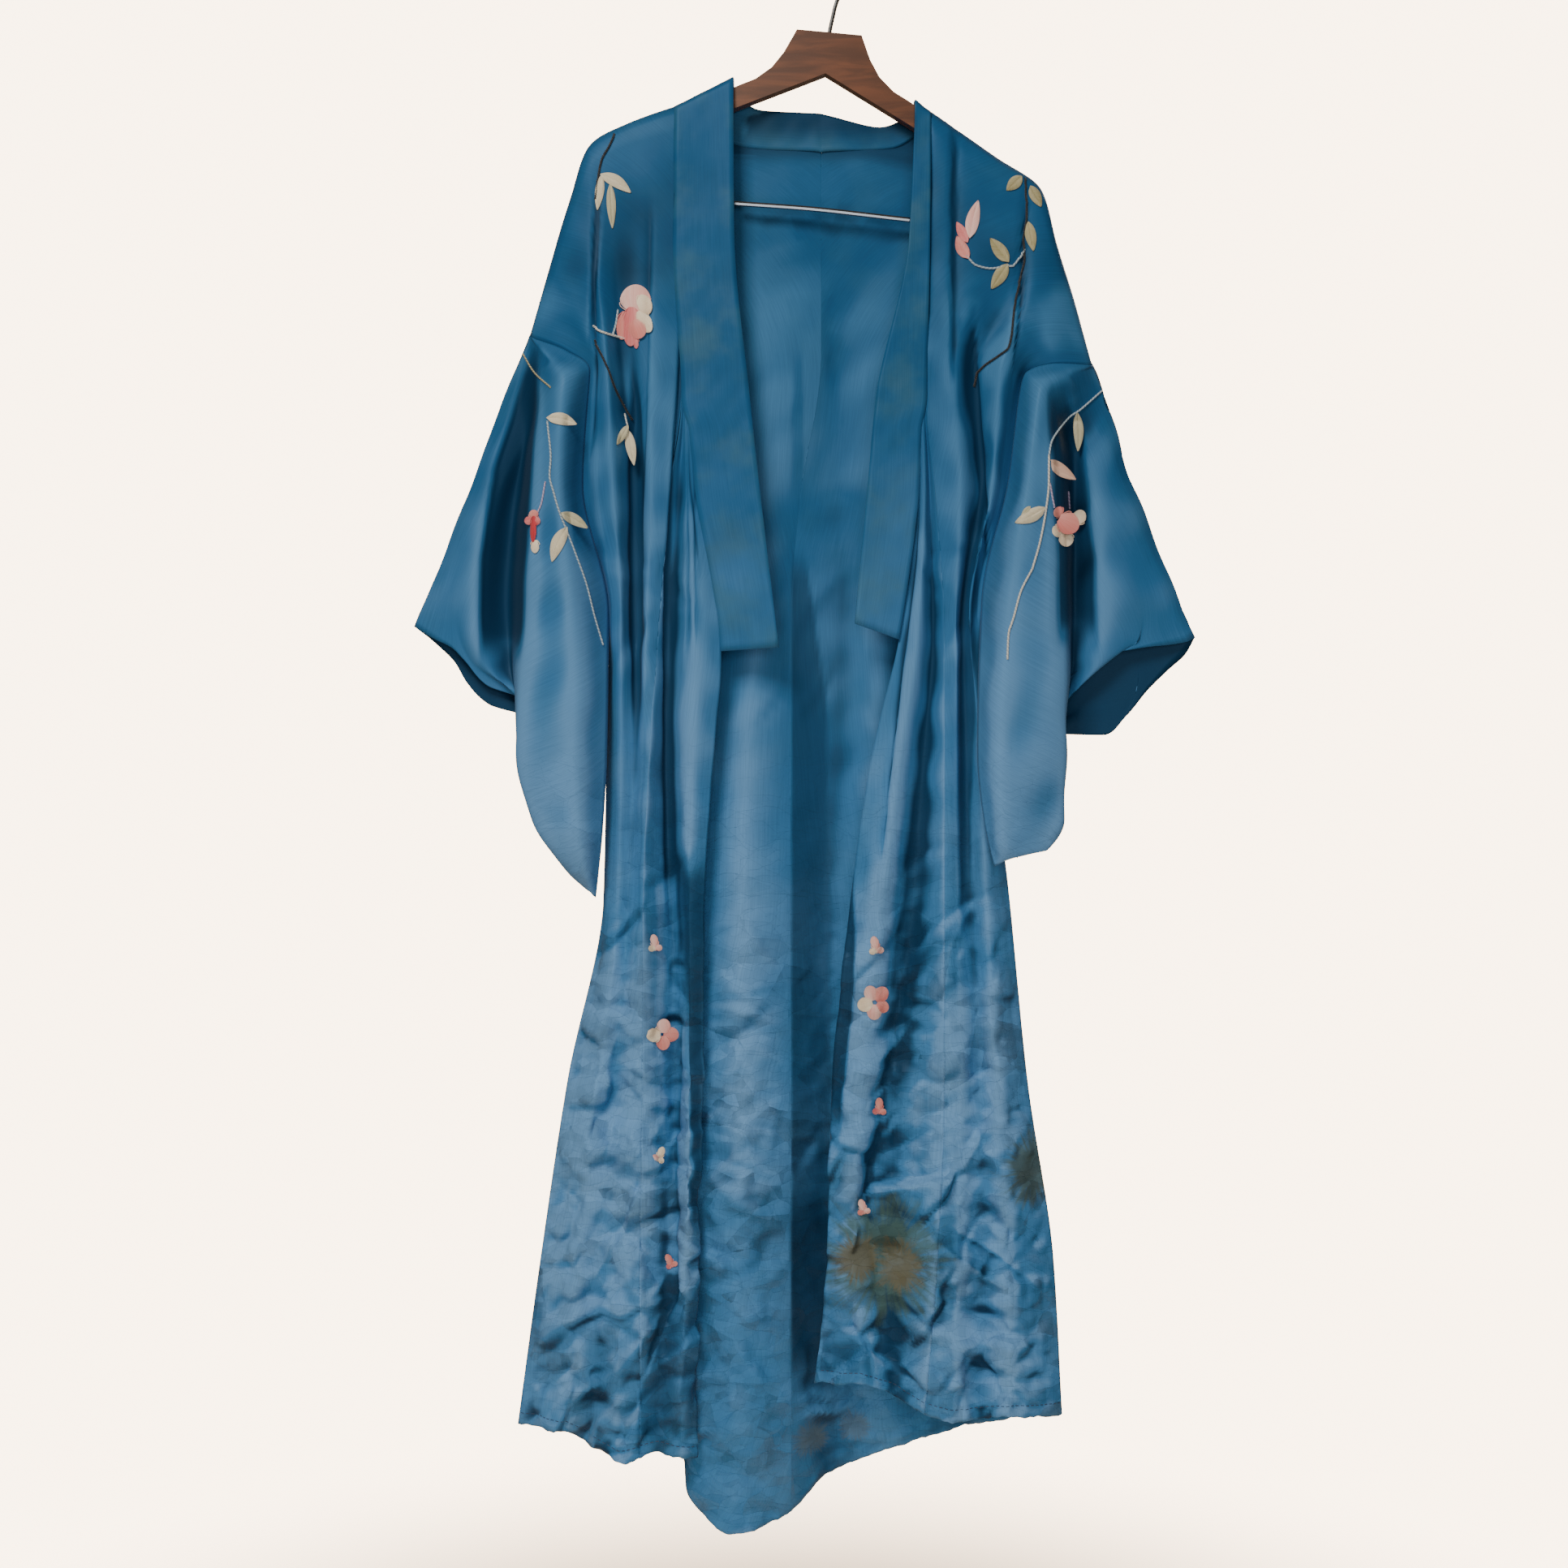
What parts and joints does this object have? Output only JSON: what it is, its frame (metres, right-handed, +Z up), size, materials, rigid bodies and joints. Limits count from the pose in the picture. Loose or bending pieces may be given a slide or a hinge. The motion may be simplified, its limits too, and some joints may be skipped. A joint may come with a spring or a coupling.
{
  "type": "embroidered silk kimono on a wooden hanger",
  "caption": "Open blue silk kimono robe with embroidered vines and blossoms, hung on a wooden hanger with a wire hook and trouser bar.",
  "frame": {"origin": "inside top of the hanger's hook, where a rail carries it", "axes": "+Z up, +X towards the wearer's left sleeve, the open front towards -Y"},
  "size_m": [0.7221, 0.0892, 1.4697],
  "materials": {
    "silk": "lustrous plain silk",
    "worn_silk": "worn silk",
    "hanger_wood": "satin varnish",
    "hanger_metal": "polished"
  },
  "bodies": {
    "root": {"body_right": "silk", "body_left": "silk", "okumi_right": "silk", "okumi_left": "silk", "sleeve_right": "silk", "sleeve_left": "silk", "collar": "worn_silk", "hanger_arms": "hanger_wood", "hanger_hook": "hanger_metal", "hanger_bar": "hanger_metal"}
  },
  "joints": []
}
